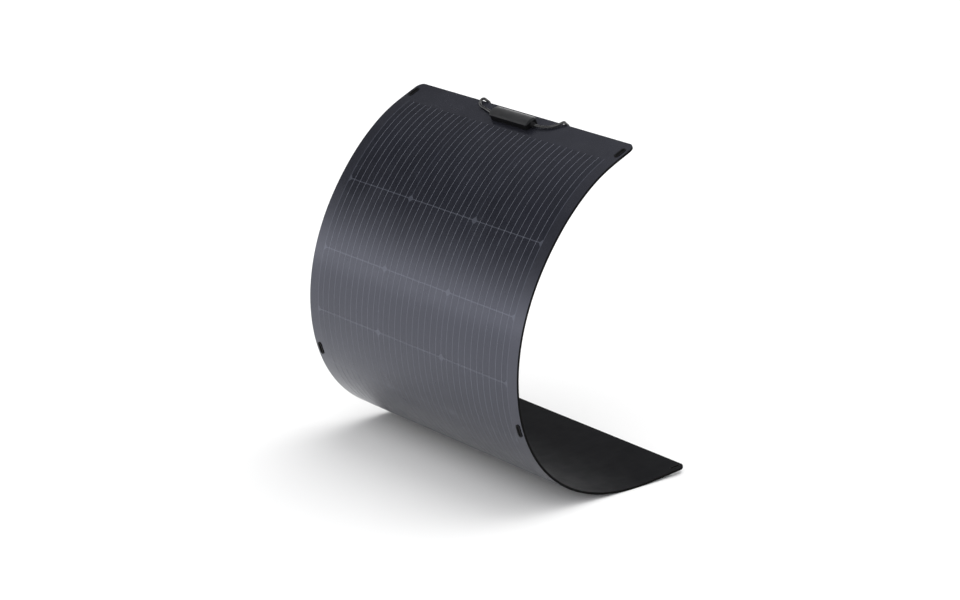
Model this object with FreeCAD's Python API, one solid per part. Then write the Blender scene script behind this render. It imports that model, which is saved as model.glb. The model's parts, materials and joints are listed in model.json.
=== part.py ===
import FreeCAD, Part
import math
import os

from FreeCAD import Vector

# Flexible solar sheet, bent into an open C with its cells on the outside.
# Frame: millimetres, +X along the sheet's width, +Z up. The sheet runs from its
# top edge (high up) out to -Y, down, and back to +Y along the floor.
# Origin: on the floor, under the middle of the sheet's footprint.

# ---- driving dimensions --------------------------------------------------
SHEET_WIDTH = 612.0
SHEET_THICK = 4.4
CORNER_RADIUS = 16.0

# The sheet bends as a chain of spans. The first and last are straight, and each
# one between them is an arc that turns by the angle listed here.
TOP_SPAN = 54.0
SECOND_SPAN = 74.0
SPAN = 84.0
TAIL_SPAN = 87.0
TURNS_DEG = (15.0, 11.5, 9.5, 11.5, 13.0, 14.5, 18.0, 21.0, 20.0, 16.0, 10.5)
SPAN_LENGTHS = [TOP_SPAN, SECOND_SPAN] + [SPAN] * (len(TURNS_DEG) - 1) + [TAIL_SPAN]
FLOOR_SPAN = len(TURNS_DEG)          # the span whose middle rests on the floor
BEND_GAP = 0.8                       # free width at each bend line

# Laminate: glass-fibre board behind, cells on it, clear film and bonding in front.
FILM_THICK = 1.15                    # clear film with its bonding layer
BOARD_TOP = SHEET_THICK / 2 - FILM_THICK   # height of the board's front face, from mid-thickness
CELL_THICK = 0.35                    # with its bonding
WIRE_THICK = 0.2
WIRE_WIDTH = 0.4
POCKET_CLEAR = 0.05

# Cells: three columns; the rows' lengths are listed from the top edge down.
COLUMNS = 3
COLUMN_PITCH = 186.0
SIDE_MARGIN = (SHEET_WIDTH - COLUMNS * COLUMN_PITCH) / 2
TOP_MARGIN = 54.0
ROW_LENGTHS = (192.0, 137.0, 120.0, 112.0, 96.0, 96.0, 96.0, 96.0)
CELL_GAP = 2.0
CELL_CHAMFER = 6.0
WIRES_PER_CELL = 10
WIRE_PITCH = 17.3
SHORTEST_STRIP = 8.0                 # a cell ends at the bend if less than this is beyond it

# Eyelets round the six slots.
SLOT_INSET = 12.0
SLOT_LENGTH, SLOT_WIDTH = 20.5, 5.0
COLLAR_LENGTH, COLLAR_WIDTH = 23.5, 8.0
FLANGE_LENGTH, FLANGE_WIDTH, FLANGE_PROUD = 26.0, 10.5, 1.1
TOP_SLOT_FROM_EDGE = 29.0
TAIL_SLOT_FROM_EDGE = 19.0
MIDDLE_SLOT_SPAN = 7

# Junction box, on the front of the top span: pad, tray, gasket and lid, upwards.
BOX_X = 3.0                          # its middle, right of the sheet's middle
BOX_ALONG = 28.0                     # its middle, from the top edge
BOX_LENGTH, BOX_DEPTH = 106.0, 27.0
WALL = 2.2
PAD_THICK, PAD_INSET, PAD_CORNER = 0.8, 1.0, 3.0
TRAY_HEIGHT, TRAY_CORNER, TRAY_INNER_CORNER = 9.4, 4.0, 2.0
GASKET_THICK, GASKET_INSET, GASKET_CORNER = 0.8, 0.5, 3.5
LID_HEIGHT, LID_RIM_HEIGHT = 5.6, 1.0   # to the crown of its arched top, to its long edges
FIT_CLEAR = 0.05                     # round anything that sits in something else
BUSH_CLEAR = 0.15                    # the lead already curves a little inside its bush
CUT_OVERRUN = 1.0                    # how far a cutting shape stands past what it cuts

# Inside the box: two terminal rails, two bypass diodes, potting.
RAIL_DEPTH, RAIL_LENGTH, RAIL_THICK = 13.0, 26.0, 0.8
RAIL_Y = 28.0                        # each rail's middle, either side of the box's
RAIL_ABOVE_PAD = 4.0
DIODE_DEPTH, DIODE_LENGTH, DIODE_HEIGHT = 6.0, 9.0, 3.0
DIODE_Y = (-7.0, 7.0)
LEG_DEPTH, LEG_WIDTH, LEG_THICK, LEG_ABOVE_BASE = 14.0, 1.5, 0.5, 1.2
POTTING_HEIGHT = 8.0

# Bus ribbons, under the film and up into the box.
RIBBON_WIDTH = 4.0
RIBBON_ALONG = 48.5                  # top ribbon's middle, from the top edge
RIBBON_INSET = 3 * CELL_GAP          # ribbon's end, in from the side of the outer column
RISER_Y = 20.0                       # each riser's middle, either side of the box's
RISER_THICK = 0.3
RISER_HEIGHT = 5.0                   # above the pad
TAIL_RIBBON_GAP = 6.0                # last cell to the tail ribbon's middle

# Glands in the box's ends, and the leads.
GLAND_RADIUS, GLAND_INSIDE = 4.0, 7.0
NUT_RADIUS, NUT_GAP, NUT_LENGTH = 5.0, 0.2, 6.0
NUT_GROOVES, NUT_GROOVE_RADIUS = 12, 0.5
GLAND_OUTSIDE = NUT_GAP + NUT_LENGTH + 0.8
LEAD_RADIUS = 2.6
LEAD_INSIDE = 6.0                    # length of lead inside the box's end
LEAD_TANGENT = 20.0                  # how firmly a lead holds its direction at its ends
# Each lead's middle line: (along from the top edge, across from the box's
# middle, height over the sheet), from its gland to where it turns down behind the sheet.
LEFT_LEAD = ((22.5, -84.0, 3.9), (17.7, -104.5, 3.6), (10.3, -116.0, 4.0),
             (3.0, -119.0, 4.8), (-3.5, -115.0, 5.5), (-6.5, -108.0, 3.0))
RIGHT_LEAD = ((26.5, 75.0, 4.2), (21.0, 92.0, 3.6), (14.0, 101.5, 3.6),
              (5.5, 107.5, 4.0), (-2.0, 112.5, 4.6), (-6.5, 116.0, 2.0))
DROP_BELOW = 12.0                    # last lead point to the drop's pivot, straight down
DROP_GAP = 1.7                       # lead end to pivot, so that the drop can swing
DROP_LENGTH = 52.0

# Connectors on the hanging ends: a plug with a pin, a socket with a tube.
SHELL_RADIUS = 8.0
CABLE_SOCKET = 12.0                  # depth that the lead enters a connector
PLUG_LENGTH, PLUG_BORE_RADIUS, PLUG_BORE_DEPTH = 44.0, 5.6, 22.0
SOCKET_LENGTH, NOSE_RADIUS, NOSE_LENGTH = 24.0, 4.8, 20.0
CONTACT_RADIUS, CONTACT_LENGTH = 2.0, 18.0
CONTACT_WALL, CONTACT_CLEAR = 0.9, 0.02
PIN_TIP_CHAMFER = 0.6
PIN_BASE_RADIUS, PIN_BASE_LENGTH = 2.6, 4.0
GRIP_RINGS, GRIP_PITCH, GRIP_RADIUS, GRIP_DEPTH = 4, 3.0, 0.9, 0.5

HALF = SHEET_THICK / 2
HALF_WIDTH = SHEET_WIDTH / 2
PAD_TOP = HALF + PAD_THICK
TRAY_TOP = PAD_TOP + TRAY_HEIGHT
GASKET_TOP = TRAY_TOP + GASKET_THICK
LEAD_HEIGHT = PAD_TOP + TRAY_HEIGHT / 2
RAIL_HEIGHT = PAD_TOP + RAIL_ABOVE_PAD
PARTS_FOLDER = "parts"


# ---- the bent line of the sheet ------------------------------------------
class Span:
    """One length of the sheet: where it starts, which way it heads, how far it turns."""

    def __init__(self, y, z, heading, length, turn):
        self.y = y
        self.z = z
        self.heading = heading
        self.length = length
        self.turn = turn

    def point(self, along, height=0.0, across=0.0):
        """A point `along` the span, `height` in front of mid-thickness."""
        heading = self.heading_at(along)
        if self.turn:
            radius = self.length / self.turn
            y = self.y + radius * (math.sin(heading) - math.sin(self.heading))
            z = self.z - radius * (math.cos(heading) - math.cos(self.heading))
        else:
            y = self.y + along * math.cos(heading)
            z = self.z + along * math.sin(heading)
        return Vector(across, y + height * math.sin(heading), z - height * math.cos(heading))

    def heading_at(self, along):
        return self.heading + self.turn * along / self.length

    def placement(self, along=0.0):
        """Local x along the sheet, local y across it, local z out of its front."""
        heading = self.heading_at(along)
        c, s = math.cos(heading), math.sin(heading)
        origin = self.point(along)
        matrix = FreeCAD.Matrix(0, 1, 0, origin.x,
                                c, 0, s, origin.y,
                                s, 0, -c, origin.z,
                                0, 0, 0, 1)
        return FreeCAD.Placement(matrix)


def lay_out_spans():
    """The chain of spans, centred over y = 0, with the floor span resting on z = 0."""
    turns = [0.0] + [math.radians(t) for t in TURNS_DEG] + [0.0]
    before_floor = sum(turns[:FLOOR_SPAN]) + turns[FLOOR_SPAN] / 2
    y, z, heading = 0.0, 0.0, 2 * math.pi - before_floor
    spans = []
    for length, turn in zip(SPAN_LENGTHS, turns):
        span = Span(y, z, heading, length, turn)
        spans.append(span)
        end = span.point(length)
        y, z, heading = end.y, end.z, heading + turn
    lowest = spans[FLOOR_SPAN].point(SPAN / 2, HALF).z
    middle = footprint_middle(spans)
    for span in spans:
        span.y -= middle
        span.z -= lowest
    return spans


def footprint_middle(spans):
    """The y halfway between the sheet's foremost line and its tail edge."""
    downwards = 1.5 * math.pi
    for span in spans:
        if span.heading <= downwards < span.heading + span.turn:
            foremost = span.point((downwards - span.heading) / span.turn * span.length, HALF).y
    tail_edge = spans[-1].point(TAIL_SPAN, HALF).y
    return (foremost + tail_edge) / 2


SPANS = lay_out_spans()
STARTS = [sum(SPAN_LENGTHS[:i]) for i in range(len(SPAN_LENGTHS))]


def slab(span, low, high, start=None, end=None, left=-HALF_WIDTH, right=HALF_WIDTH):
    """A layer of one span between two heights, curved as the span is."""
    start = BEND_GAP / 2 if start is None else start
    end = span.length - BEND_GAP / 2 if end is None else end
    middle = (start + end) / 2
    corners = [span.point(a, h, left) for a, h in
               ((start, low), (end, low), (end, high), (start, high))]
    if span.turn:
        inner = Part.Arc(corners[0], span.point(middle, low, left), corners[1]).toShape()
        outer = Part.Arc(corners[2], span.point(middle, high, left), corners[3]).toShape()
    else:
        inner = Part.makeLine(corners[0], corners[1])
        outer = Part.makeLine(corners[2], corners[3])
    sides = [Part.makeLine(corners[1], corners[2]), Part.makeLine(corners[3], corners[0])]
    outline = Part.Wire([inner, sides[0], outer, sides[1]])
    return Part.Face(outline).extrude(Vector(right - left, 0, 0))


# ---- small shapes --------------------------------------------------------
def stadium(length, width, low, high):
    """An upright slot shape, long in x, centred on the origin."""
    straight = (length - width) / 2
    bar = Part.makeBox(2 * straight, width, high - low, Vector(-straight, -width / 2, low))
    ends = [Part.makeCylinder(width / 2, high - low, Vector(x, 0, low))
            for x in (-straight, straight)]
    return bar.multiFuse(ends).removeSplitter()


def block(size_x, size_y, low, high, x=0.0, y=0.0):
    """A box centred on (x, y), from height low to height high."""
    return Part.makeBox(size_x, size_y, high - low, Vector(x - size_x / 2, y - size_y / 2, low))


def rounded_block(size_x, size_y, low, high, radius):
    """A centred box with its four upright edges rounded."""
    shape = block(size_x, size_y, low, high)
    upright = [e for e in shape.Edges
               if abs(e.Vertexes[0].Point.z - e.Vertexes[1].Point.z) > (high - low) / 2]
    return shape.makeFillet(radius, upright)


def placed(shape, placement):
    """A copy of the shape moved from local coordinates into place."""
    moved = shape.copy()
    moved.Placement = placement.multiply(shape.Placement)
    return moved


def export(node, solids):
    """Write one sub-part, a solid or a group of separate solids."""
    solids = solids if isinstance(solids, list) else [solids]
    flat = [s for shape in solids for s in shape.Solids]
    result = flat[0] if len(flat) == 1 else Part.makeCompound(flat)
    result.exportStep(os.path.join(PARTS_FOLDER, node + ".step"))


# ---- slots and eyelets ---------------------------------------------------
def slot_places(index):
    """Placements of the slots in one span, left and right."""
    along = {0: TOP_SLOT_FROM_EDGE,
             MIDDLE_SLOT_SPAN: SPAN / 2,
             len(SPANS) - 1: TAIL_SPAN - TAIL_SLOT_FROM_EDGE}.get(index)
    if along is None:
        return []
    centre = SPANS[index].placement(along)
    return [centre.multiply(FreeCAD.Placement(Vector(0, side * (HALF_WIDTH - SLOT_INSET), 0),
                                              FreeCAD.Rotation()))
            for side in (-1, 1)]


def cut_slots(shape, index):
    """The span's layer with an opening for each eyelet's collar."""
    opening = stadium(COLLAR_LENGTH, COLLAR_WIDTH, -2 * SHEET_THICK, 2 * SHEET_THICK)
    for place in slot_places(index):
        shape = shape.cut(placed(opening, place))
    return shape


def round_corners(shape, index):
    """The top span's and the tail span's outer corners, rounded."""
    span = SPANS[index]
    if index == 0:
        middle = HALF_WIDTH
    elif index == len(SPANS) - 1:
        middle = span.length - HALF_WIDTH
    else:
        return shape
    blank = rounded_block(SHEET_WIDTH, SHEET_WIDTH, -SHEET_THICK, SHEET_THICK, CORNER_RADIUS)
    blank.translate(Vector(middle, 0, 0))
    return shape.common(placed(blank, span.placement()))


def make_eyelets(index):
    """Two moulded rims, each a collar through the sheet with a flange in front."""
    flange = stadium(FLANGE_LENGTH, FLANGE_WIDTH, 0, HALF + FLANGE_PROUD)
    collar = stadium(COLLAR_LENGTH - 2 * FIT_CLEAR, COLLAR_WIDTH - 2 * FIT_CLEAR, -HALF, HALF)
    opening = stadium(SLOT_LENGTH, SLOT_WIDTH, -SHEET_THICK, 2 * SHEET_THICK)
    blank = flange.fuse(collar).cut(opening)
    laminate = cut_slots(whole_layer(index, -2 * HALF, HALF), index)
    return [placed(blank, place).cut(laminate) for place in slot_places(index)]


# ---- laminate ------------------------------------------------------------
def whole_layer(index, low, high):
    """One span's layer, full width, running to the sheet's own edge at the ends."""
    span = SPANS[index]
    start = 0.0 if index == 0 else BEND_GAP / 2
    end = span.length if index == len(SPANS) - 1 else span.length - BEND_GAP / 2
    return slab(span, low, high, start, end)


def cell_strips(index):
    """(start, end) of each cell row's share of a span, measured along the span."""
    span = SPANS[index]
    strips = []
    row_start = TOP_MARGIN - STARTS[index]
    for row in ROW_LENGTHS:
        start = max(row_start + CELL_GAP / 2, BEND_GAP)
        end = min(row_start + row - CELL_GAP / 2, span.length - BEND_GAP)
        if end - start > SHORTEST_STRIP:
            strips.append((start, end))
        row_start += row
    return strips


def column_sides():
    """Left and right side of each column of cells."""
    first = -HALF_WIDTH + SIDE_MARGIN
    return [(first + i * COLUMN_PITCH + CELL_GAP / 2, first + (i + 1) * COLUMN_PITCH - CELL_GAP / 2)
            for i in range(COLUMNS)]


def corner_cutters(index):
    """Diamond prisms where the corners of the cells are cropped."""
    span = SPANS[index]
    lines = [TOP_MARGIN + sum(ROW_LENGTHS[:i]) - STARTS[index] for i in range(len(ROW_LENGTHS) + 1)]
    side = math.sqrt(2) * CELL_CHAMFER
    diamond = block(side, side, -SHEET_THICK, SHEET_THICK)
    diamond.rotate(Vector(), Vector(0, 0, 1), 45)
    cutters = []
    for line in lines:
        if -CELL_CHAMFER < line < span.length + CELL_CHAMFER:
            for i in range(COLUMNS + 1):
                across = -HALF_WIDTH + SIDE_MARGIN + i * COLUMN_PITCH
                shift = FreeCAD.Placement(Vector(0, across, 0), FreeCAD.Rotation())
                cutters.append(placed(diamond, span.placement(line).multiply(shift)))
    return cutters


def make_cells(index):
    """The span's pieces of cell, each with its ten soldered wires."""
    span = SPANS[index]
    top = BOARD_TOP + CELL_THICK
    pieces = []
    for start, end in cell_strips(index):
        for left, right in column_sides():
            cell = slab(span, BOARD_TOP, top, start, end, left, right)
            cutters = corner_cutters(index)
            if cutters:
                cell = cell.cut(Part.makeCompound(cutters))
            first_wire = (left + right - (WIRES_PER_CELL - 1) * WIRE_PITCH) / 2
            wires = []
            for i in range(WIRES_PER_CELL):
                middle = first_wire + i * WIRE_PITCH
                wires.append(slab(span, top, top + WIRE_THICK, start, end,
                                  middle - WIRE_WIDTH / 2, middle + WIRE_WIDTH / 2))
            pieces.append(cell.multiFuse(wires))
    return pieces


def make_back_sheet(index):
    """The glass-fibre board behind the cells."""
    board = whole_layer(index, -HALF, BOARD_TOP)
    return cut_slots(round_corners(board, index), index)


def make_front_sheet(index):
    """The clear film and its bonding layer, with a pocket over each piece of cell."""
    span = SPANS[index]
    sheet = whole_layer(index, BOARD_TOP, HALF)
    sheet = cut_slots(round_corners(sheet, index), index)
    pocket_top = BOARD_TOP + CELL_THICK + WIRE_THICK + POCKET_CLEAR
    pockets = [slab(span, 0, pocket_top, start - POCKET_CLEAR, end + POCKET_CLEAR,
                    left - POCKET_CLEAR, right + POCKET_CLEAR)
               for start, end in cell_strips(index) for left, right in column_sides()]
    if index == 0:
        pockets += [top_ribbon(side, POCKET_CLEAR) for side in (-1, 1)]
    if index == len(SPANS) - 1:
        pockets.append(tail_ribbon(POCKET_CLEAR))
    return sheet.cut(Part.makeCompound(pockets)) if pockets else sheet


# ---- bus ribbons ---------------------------------------------------------
def top_ribbon(side, grow=0.0):
    """One top ribbon: along the cells' ends, back to the box and up into it."""
    outer = side * (HALF_WIDTH - SIDE_MARGIN - RIBBON_INSET)
    across = BOX_X + side * RISER_Y
    low, high = BOARD_TOP - grow, BOARD_TOP + CELL_THICK + grow
    width = RIBBON_WIDTH + 2 * grow
    run = block(width, abs(outer - across) + width, low, high, RIBBON_ALONG, (outer + across) / 2)
    branch = block(RIBBON_ALONG - BOX_ALONG, width, low, high,
                   (RIBBON_ALONG + BOX_ALONG) / 2, across)
    riser = block(RISER_THICK + 2 * grow, width, low, PAD_TOP + RISER_HEIGHT, BOX_ALONG, across)
    return placed(run.multiFuse([branch, riser]).removeSplitter(), SPANS[0].placement())


def tail_ribbon(grow=0.0):
    """The ribbon that joins the columns below the last row of cells."""
    along = TOP_MARGIN + sum(ROW_LENGTHS) + TAIL_RIBBON_GAP - STARTS[-1]
    low, high = BOARD_TOP - grow, BOARD_TOP + CELL_THICK + grow
    length = 2 * (HALF_WIDTH - SIDE_MARGIN - RIBBON_INSET + grow)
    strip = block(RIBBON_WIDTH + 2 * grow, length, low, high, along)
    return placed(strip, SPANS[-1].placement())


# ---- junction box --------------------------------------------------------
BOX_PLACE = SPANS[0].placement(BOX_ALONG).multiply(
    FreeCAD.Placement(Vector(0, BOX_X, 0), FreeCAD.Rotation()))


def riser_slits():
    """Openings that let the two risers up through everything that they pass."""
    top = PAD_TOP + RISER_HEIGHT + FIT_CLEAR
    return Part.makeCompound([
        block(RISER_THICK + 2 * FIT_CLEAR, RIBBON_WIDTH + 2 * FIT_CLEAR, 0, top,
              0, side * RISER_Y) for side in (-1, 1)])


def make_adhesive_pad():
    pad = rounded_block(BOX_DEPTH - 2 * PAD_INSET, BOX_LENGTH - 2 * PAD_INSET,
                        HALF, PAD_TOP, PAD_CORNER)
    return placed(pad.cut(riser_slits()), BOX_PLACE)


def tray_hollow(top):
    """The space inside the tray, from its floor up to the height given."""
    return rounded_block(BOX_DEPTH - 2 * WALL, BOX_LENGTH - 2 * WALL,
                         PAD_TOP + WALL, top, TRAY_INNER_CORNER)


def make_box_tray():
    """Open tray with a hole in each end for a gland."""
    tray = rounded_block(BOX_DEPTH, BOX_LENGTH, PAD_TOP, TRAY_TOP, TRAY_CORNER)
    tray = tray.cut(tray_hollow(TRAY_TOP + CUT_OVERRUN))
    return placed(tray.cut(gland_spaces()).cut(riser_slits()), BOX_PLACE)


def make_gasket():
    ring = rounded_block(BOX_DEPTH - 2 * GASKET_INSET, BOX_LENGTH - 2 * GASKET_INSET,
                         TRAY_TOP, GASKET_TOP, GASKET_CORNER)
    reach = WALL - GASKET_INSET
    hole = rounded_block(BOX_DEPTH - 2 * reach, BOX_LENGTH - 2 * reach,
                         TRAY_TOP - CUT_OVERRUN, GASKET_TOP + CUT_OVERRUN, TRAY_INNER_CORNER)
    return placed(ring.cut(hole), BOX_PLACE)


def make_box_lid():
    """Lid with a low arched top, running the length of the box."""
    side, end = BOX_DEPTH / 2, BOX_LENGTH / 2
    edge, crown = GASKET_TOP + LID_RIM_HEIGHT, GASKET_TOP + LID_HEIGHT
    right, left = Vector(side, -end, edge), Vector(-side, -end, edge)
    base_left, base_right = Vector(-side, -end, GASKET_TOP), Vector(side, -end, GASKET_TOP)
    arch = Part.Arc(right, Vector(0, -end, crown), left).toShape()
    base = Part.makePolygon([left, base_left, base_right, right])
    section = Part.Face(Part.Wire([arch] + base.Edges))
    arched = section.extrude(Vector(0, BOX_LENGTH, 0))
    plan = rounded_block(BOX_DEPTH, BOX_LENGTH, GASKET_TOP, crown, TRAY_CORNER)
    return placed(arched.common(plan), BOX_PLACE)


def rail(side):
    """A terminal rail, cut clear of the riser that is soldered to it."""
    plate = block(RAIL_DEPTH, RAIL_LENGTH, RAIL_HEIGHT, RAIL_HEIGHT + RAIL_THICK,
                  0, side * RAIL_Y)
    return plate.cut(riser_slits())


def diode(y):
    """A bypass diode with its two flat legs, laid across the box."""
    body = block(DIODE_DEPTH, DIODE_LENGTH, RAIL_HEIGHT, RAIL_HEIGHT + DIODE_HEIGHT, 0, y)
    leg_low = RAIL_HEIGHT + LEG_ABOVE_BASE
    legs = block(LEG_DEPTH, LEG_WIDTH, leg_low, leg_low + LEG_THICK, 0, y)
    return body.fuse(legs)


def make_potting():
    """The compound that fills the tray round everything in it."""
    inside = [rail(side) for side in (-1, 1)] + [diode(y) for y in DIODE_Y] + [riser_slits()]
    fill = tray_hollow(PAD_TOP + POTTING_HEIGHT)
    return placed(fill.cut(gland_spaces()).cut(Part.makeCompound(inside)), BOX_PLACE)


def lead_line_cylinder(radius, start, end):
    """A cylinder along the box's length at the leads' height."""
    return Part.makeCylinder(radius, end - start, Vector(0, start, LEAD_HEIGHT), Vector(0, 1, 0))


def gland_spaces():
    """The room for a gland bush at each end of the box."""
    start, end = BOX_LENGTH / 2 - GLAND_INSIDE, BOX_LENGTH / 2 + CUT_OVERRUN
    radius = GLAND_RADIUS + FIT_CLEAR
    return Part.makeCompound([lead_line_cylinder(radius, start, end),
                              lead_line_cylinder(radius, -end, -start)])


def gland_tube(radius, bore, start, end):
    """A tube round the lead at the box's right end."""
    return lead_line_cylinder(radius, start, end).cut(lead_line_cylinder(bore, start, end))


def make_glands():
    """Two bushes that hold the leads in the tray's end walls."""
    end_wall = BOX_LENGTH / 2
    bush = gland_tube(GLAND_RADIUS, LEAD_RADIUS + BUSH_CLEAR,
                      end_wall - GLAND_INSIDE, end_wall + GLAND_OUTSIDE)
    return both_ends(bush)


def make_gland_nuts():
    """Two ribbed nuts that clamp the bushes from outside."""
    start = BOX_LENGTH / 2 + NUT_GAP
    end = start + NUT_LENGTH
    nut = gland_tube(NUT_RADIUS, GLAND_RADIUS + FIT_CLEAR, start, end)
    middle = Vector(0, 0, LEAD_HEIGHT)
    groove = lead_line_cylinder(NUT_GROOVE_RADIUS, start - CUT_OVERRUN, end + CUT_OVERRUN)
    groove.translate(Vector(NUT_RADIUS, 0, 0))
    for i in range(NUT_GROOVES):
        turned = groove.copy()
        turned.rotate(middle, Vector(0, 1, 0), i * 360 / NUT_GROOVES)
        nut = nut.cut(turned)
    return both_ends(nut)


def both_ends(shape):
    """The shape at the box's right end, and its mirror image at the left."""
    mirror = shape.mirror(Vector(), Vector(0, 1, 0))
    return [placed(shape, BOX_PLACE), placed(mirror, BOX_PLACE)]


# ---- leads ---------------------------------------------------------------
def to_world(point):
    along, across, height = point
    return SPANS[0].placement().multVec(Vector(along, BOX_X + across, HALF + height))


def drop_pivot(lead):
    """The point behind the top edge where a lead's hanging end swings."""
    return to_world(lead[-1]) + Vector(0, 0, -DROP_BELOW)


def make_lead(lead, side):
    """The visible length of a lead, swept along a smooth line."""
    inner_end = BOX_LENGTH / 2 - LEAD_INSIDE
    outer_end = BOX_LENGTH / 2 + GLAND_OUTSIDE
    points = [BOX_PLACE.multVec(Vector(0, side * y, LEAD_HEIGHT))
              for y in (inner_end, (inner_end + outer_end) / 2, outer_end)]
    points += [to_world(p) for p in lead]
    points += [drop_pivot(lead) + Vector(0, 0, DROP_GAP)]
    start_direction = (points[1] - points[0]).normalize()
    curve = Part.BSplineCurve()
    curve.interpolate(Points=points, InitialTangent=start_direction * LEAD_TANGENT,
                      FinalTangent=Vector(0, 0, -LEAD_TANGENT))
    path = Part.Wire([curve.toShape()])
    ring = Part.Wire([Part.makeCircle(LEAD_RADIUS, points[0], start_direction)])
    return path.makePipeShell([ring], True, False)


def make_drop(lead):
    """The hanging end of a lead, straight down from its pivot."""
    top = drop_pivot(lead) - Vector(0, 0, DROP_GAP)
    return Part.makeCylinder(LEAD_RADIUS, DROP_LENGTH, top, Vector(0, 0, -1))


# ---- connectors ----------------------------------------------------------
# In a connector's own frame z = 0 is the end of its lead, and +z points out of its mouth.
PLUG_MOUTH = PLUG_LENGTH - CABLE_SOCKET
PIN_START = PLUG_MOUTH - PLUG_BORE_DEPTH
SHOULDER = SOCKET_LENGTH - CABLE_SOCKET
NOSE_END = SHOULDER + NOSE_LENGTH
TUBE_BORE = CONTACT_RADIUS + CONTACT_CLEAR


def connector_place(lead):
    """Connector frame: local +z points down out of the connector's mouth."""
    back = drop_pivot(lead) - Vector(0, 0, DROP_GAP + DROP_LENGTH)
    return FreeCAD.Placement(back, FreeCAD.Rotation(Vector(1, 0, 0), 180))


def rod(radius, start, end):
    """A cylinder on a connector's own axis."""
    return Part.makeCylinder(radius, end - start, Vector(0, 0, start))


def grip_rings(shape):
    """Shallow rings cut round a connector's body for grip."""
    for i in range(GRIP_RINGS):
        height = -CABLE_SOCKET + GRIP_PITCH * (i + 1)
        ring = Part.makeTorus(SHELL_RADIUS + GRIP_RADIUS - GRIP_DEPTH, GRIP_RADIUS,
                              Vector(0, 0, height), Vector(0, 0, 1))
        shape = shape.cut(ring)
    return shape


def make_plug_shell():
    """Hollow-mouthed shell round the pin contact."""
    body = rod(SHELL_RADIUS, -CABLE_SOCKET, PLUG_MOUTH)
    body = body.cut(rod(PLUG_BORE_RADIUS, PIN_START, PLUG_MOUTH + CUT_OVERRUN))
    body = body.cut(rod(PIN_BASE_RADIUS + FIT_CLEAR, PIN_START - PIN_BASE_LENGTH - FIT_CLEAR,
                        PIN_START + CUT_OVERRUN))
    body = body.cut(rod(LEAD_RADIUS + FIT_CLEAR, -CABLE_SOCKET, FIT_CLEAR))
    return placed(grip_rings(body), connector_place(LEFT_LEAD))


def make_plug_pin():
    """Round pin with a wider base that is held in the shell."""
    pin = rod(CONTACT_RADIUS, PIN_START, PIN_START + CONTACT_LENGTH)
    tip = [e for e in pin.Edges if e.BoundBox.ZMin > PIN_START and e.Closed]
    pin = pin.makeChamfer(PIN_TIP_CHAMFER, tip)
    base = rod(PIN_BASE_RADIUS, PIN_START - PIN_BASE_LENGTH, PIN_START)
    return placed(pin.fuse(base), connector_place(LEFT_LEAD))


def make_socket_shell():
    """Shell with a narrow nose round the tube contact."""
    body = rod(SHELL_RADIUS, -CABLE_SOCKET, SHOULDER).fuse(rod(NOSE_RADIUS, SHOULDER, NOSE_END))
    body = body.cut(rod(LEAD_RADIUS + FIT_CLEAR, -CABLE_SOCKET, FIT_CLEAR))
    body = body.cut(rod(TUBE_BORE + CONTACT_WALL + FIT_CLEAR, NOSE_END - CONTACT_LENGTH,
                        NOSE_END + CUT_OVERRUN))
    return placed(grip_rings(body), connector_place(RIGHT_LEAD))


def make_socket_contact():
    """Tube that a pin slides into, its mouth level with the nose's end."""
    start = NOSE_END - CONTACT_LENGTH
    tube = rod(TUBE_BORE + CONTACT_WALL, start, NOSE_END).cut(rod(TUBE_BORE, start, NOSE_END))
    return placed(tube, connector_place(RIGHT_LEAD))


# ---- write every sub-part ------------------------------------------------
os.makedirs(PARTS_FOLDER, exist_ok=True)
for number in range(len(SPANS)):
    label = "%02d" % (number + 1)
    export("front_sheet_" + label, make_front_sheet(number))
    export("back_sheet_" + label, make_back_sheet(number))
    if cell_strips(number):
        export("cells_" + label, make_cells(number))

export("eyelets_top", make_eyelets(0))
export("eyelets_middle", make_eyelets(MIDDLE_SLOT_SPAN))
export("eyelets_tail", make_eyelets(len(SPANS) - 1))
export("bus_ribbons_top", [top_ribbon(side) for side in (-1, 1)])
export("bus_ribbon_tail", tail_ribbon())
export("adhesive_pad", make_adhesive_pad())
export("box_tray", make_box_tray())
export("box_gasket", make_gasket())
export("box_lid", make_box_lid())
export("terminal_rails", [placed(rail(side), BOX_PLACE) for side in (-1, 1)])
export("bypass_diodes", [placed(diode(y), BOX_PLACE) for y in DIODE_Y])
export("potting", make_potting())
export("gland_bushes", make_glands())
export("gland_nuts", make_gland_nuts())
export("lead_left", make_lead(LEFT_LEAD, -1))
export("lead_right", make_lead(RIGHT_LEAD, 1))
export("lead_drop_left", make_drop(LEFT_LEAD))
export("lead_drop_right", make_drop(RIGHT_LEAD))
export("plug_shell", make_plug_shell())
export("plug_pin", make_plug_pin())
export("socket_shell", make_socket_shell())
export("socket_contact", make_socket_contact())
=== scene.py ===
"""Looks of the flexible solar sheet: smooth laminate, cells, wires, leads, materials and light."""

import json
import math

import bpy
import numpy as np
from mathutils import Matrix, Vector


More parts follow.
